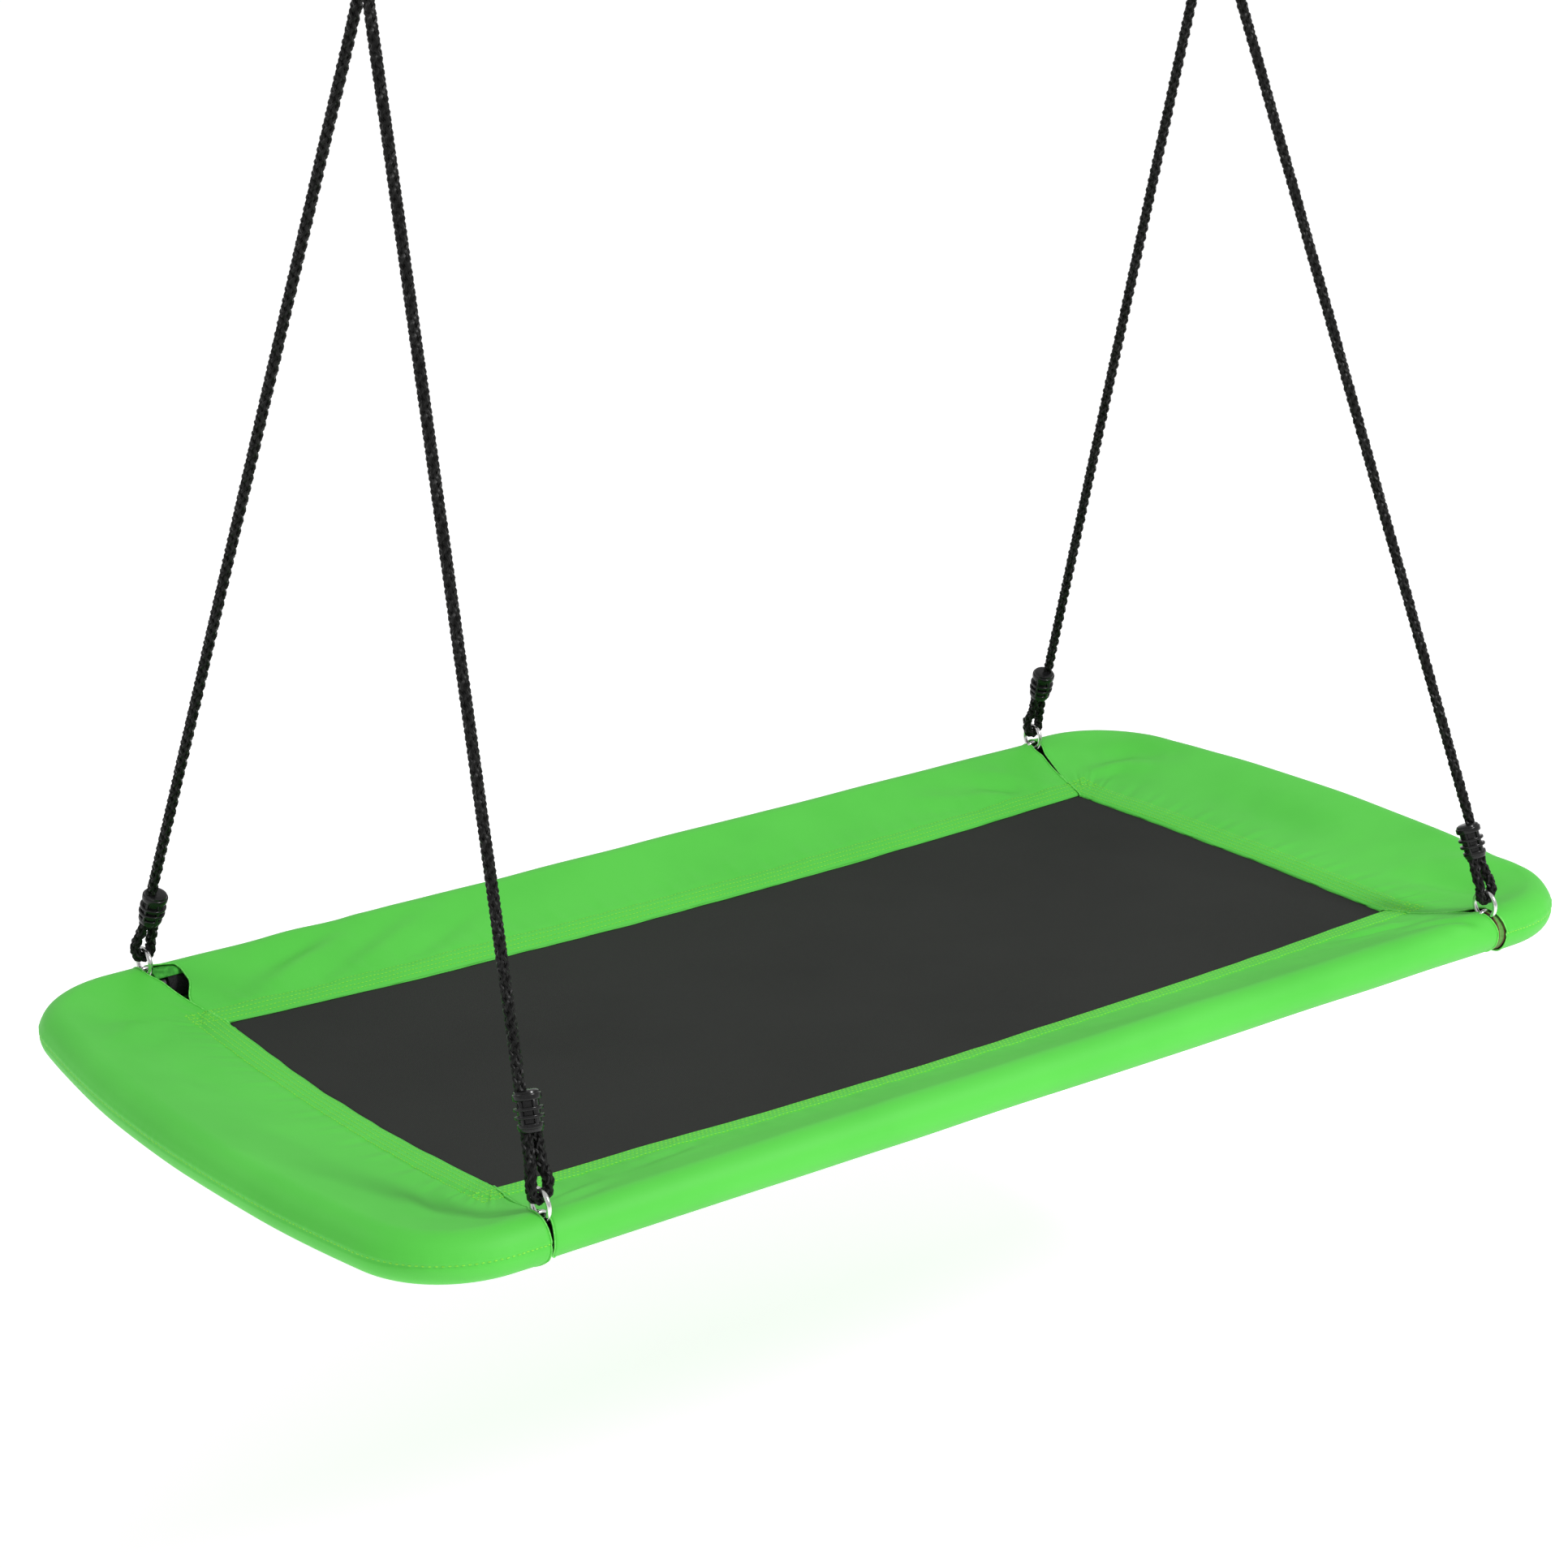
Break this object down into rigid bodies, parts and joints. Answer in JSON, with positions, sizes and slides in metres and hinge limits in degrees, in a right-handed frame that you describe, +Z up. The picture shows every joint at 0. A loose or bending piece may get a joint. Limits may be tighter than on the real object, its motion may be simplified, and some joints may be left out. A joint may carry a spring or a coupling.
{
  "type": "platform swing",
  "caption": "Rectangular platform swing: padded tube frame with fabric sleeves and a mesh mat, hung by rope bridles with height adjusters, rings and carabiners.",
  "frame": {"origin": "middle of the hang line, the line along X through the top bars of the two hanging rings, which the swing turns about", "axes": "+X along the platform's length, -Y its front side, +Z up"},
  "size_m": [1.524, 0.764, 1.2413],
  "materials": {
    "sleeve_fabric": "satin coated polyester weave",
    "mat_mesh": "matte woven mesh",
    "black_tube": "satin powder coat",
    "foam": "matte closed-cell foam",
    "zinc_steel": "bright zinc plate",
    "black_rope": "slightly glossy braided rope",
    "black_plastic": "moulded, slightly glossy"
  },
  "bodies": {
    "hangers": {"carabiner_left": "zinc_steel", "carabiner_right": "zinc_steel", "gate_pin_left": "zinc_steel", "gate_pin_right": "zinc_steel"},
    "left_gate": {"gate_left": "zinc_steel"},
    "right_gate": {"gate_right": "zinc_steel"},
    "left_hanger_ring": {"hanging_ring_left": "zinc_steel"},
    "right_hanger_ring": {"hanging_ring_right": "zinc_steel"},
    "left_bridle": {"rope_left": "black_rope", "rope_collar_left": "black_plastic", "lower_ring_front_left": "zinc_steel", "lower_ring_back_left": "zinc_steel", "rope_tail_front_left": "black_rope", "rope_tail_back_left": "black_rope"},
    "right_bridle": {"rope_right": "black_rope", "rope_collar_right": "black_plastic", "lower_ring_front_right": "zinc_steel", "lower_ring_back_right": "zinc_steel", "rope_tail_front_right": "black_rope", "rope_tail_back_right": "black_rope"},
    "front_left_adjuster": {"adjuster_front_left": "black_plastic"},
    "back_left_adjuster": {"adjuster_back_left": "black_plastic"},
    "front_right_adjuster": {"adjuster_front_right": "black_plastic"},
    "back_right_adjuster": {"adjuster_back_right": "black_plastic"},
    "platform": {"mat": "mat_mesh", "end_tube_left": "black_tube", "end_foam_left": "foam", "end_sleeve_left": "sleeve_fabric", "end_tube_right": "black_tube", "end_foam_right": "foam", "end_sleeve_right": "sleeve_fabric", "side_tube_front": "black_tube", "side_foam_front": "foam", "side_sleeve_front": "sleeve_fabric", "side_tube_back": "black_tube", "side_foam_back": "foam", "side_sleeve_back": "sleeve_fabric", "ring_staple_front_left": "zinc_steel", "staple_plate_front_left": "zinc_steel", "joint_screw_front_left": "zinc_steel", "ring_staple_back_left": "zinc_steel", "staple_plate_back_left": "zinc_steel", "joint_screw_back_left": "zinc_steel", "ring_staple_front_right": "zinc_steel", "staple_plate_front_right": "zinc_steel", "joint_screw_front_right": "zinc_steel", "ring_staple_back_right": "zinc_steel", "staple_plate_back_right": "zinc_steel", "joint_screw_back_right": "zinc_steel"}
  },
  "joints": [
    {"name": "left_swing", "type": "hinge", "parent": "hangers", "child": "left_hanger_ring", "pos_m": [-0.5, 0, 0], "axis": [1, 0, 0], "range_deg": [-35, 35]},
    {"name": "right_swing", "type": "hinge", "parent": "hangers", "child": "right_hanger_ring", "pos_m": [0.5, 0, 0], "axis": [1, 0, 0], "range_deg": [-35, 35]},
    {"name": "left_sway", "type": "hinge", "parent": "left_hanger_ring", "child": "left_bridle", "pos_m": [-0.5, 0, -0.03245], "axis": [0, 1, 0], "range_deg": [-8, 8]},
    {"name": "right_sway", "type": "hinge", "parent": "right_hanger_ring", "child": "right_bridle", "pos_m": [0.5, 0, -0.03245], "axis": [0, 1, 0], "range_deg": [-8, 8]},
    {"name": "platform_level", "type": "hinge", "parent": "left_bridle", "child": "platform", "pos_m": [-0.589, 0, -1.1227], "axis": [0, 1, 0], "range_deg": [-8, 8]},
    {"name": "front_left_adjuster_slide", "type": "slide", "parent": "left_bridle", "child": "front_left_adjuster", "axis": [0.0911, 0.3401, 0.936], "range_m": [0, 0.3], "deforming": ["rope_tail_front_left"]},
    {"name": "back_left_adjuster_slide", "type": "slide", "parent": "left_bridle", "child": "back_left_adjuster", "axis": [0.0911, -0.3401, 0.936], "range_m": [0, 0.3], "deforming": ["rope_tail_back_left"]},
    {"name": "front_right_adjuster_slide", "type": "slide", "parent": "right_bridle", "child": "front_right_adjuster", "axis": [-0.0911, 0.3401, 0.936], "range_m": [0, 0.3], "deforming": ["rope_tail_front_right"]},
    {"name": "back_right_adjuster_slide", "type": "slide", "parent": "right_bridle", "child": "back_right_adjuster", "axis": [-0.0911, -0.3401, 0.936], "range_m": [0, 0.3], "deforming": ["rope_tail_back_right"]},
    {"name": "left_gate_hinge", "type": "hinge", "parent": "hangers", "child": "left_gate", "pos_m": [-0.5, -0.012, 0.0087], "axis": [-1, 0, 0], "range_deg": [0, 25], "stiffness_Nm_per_rad": 0.05, "springref_deg": -20.05},
    {"name": "right_gate_hinge", "type": "hinge", "parent": "hangers", "child": "right_gate", "pos_m": [0.5, -0.012, 0.0087], "axis": [-1, 0, 0], "range_deg": [0, 25], "stiffness_Nm_per_rad": 0.05, "springref_deg": -20.05}
  ],
  "couplings": [
    {"joint": "right_swing", "follows": "left_swing", "ratio": 1},
    {"joint": "right_sway", "follows": "left_sway", "ratio": 1},
    {"joint": "platform_level", "follows": "left_sway", "ratio": -0.8489}
  ]
}
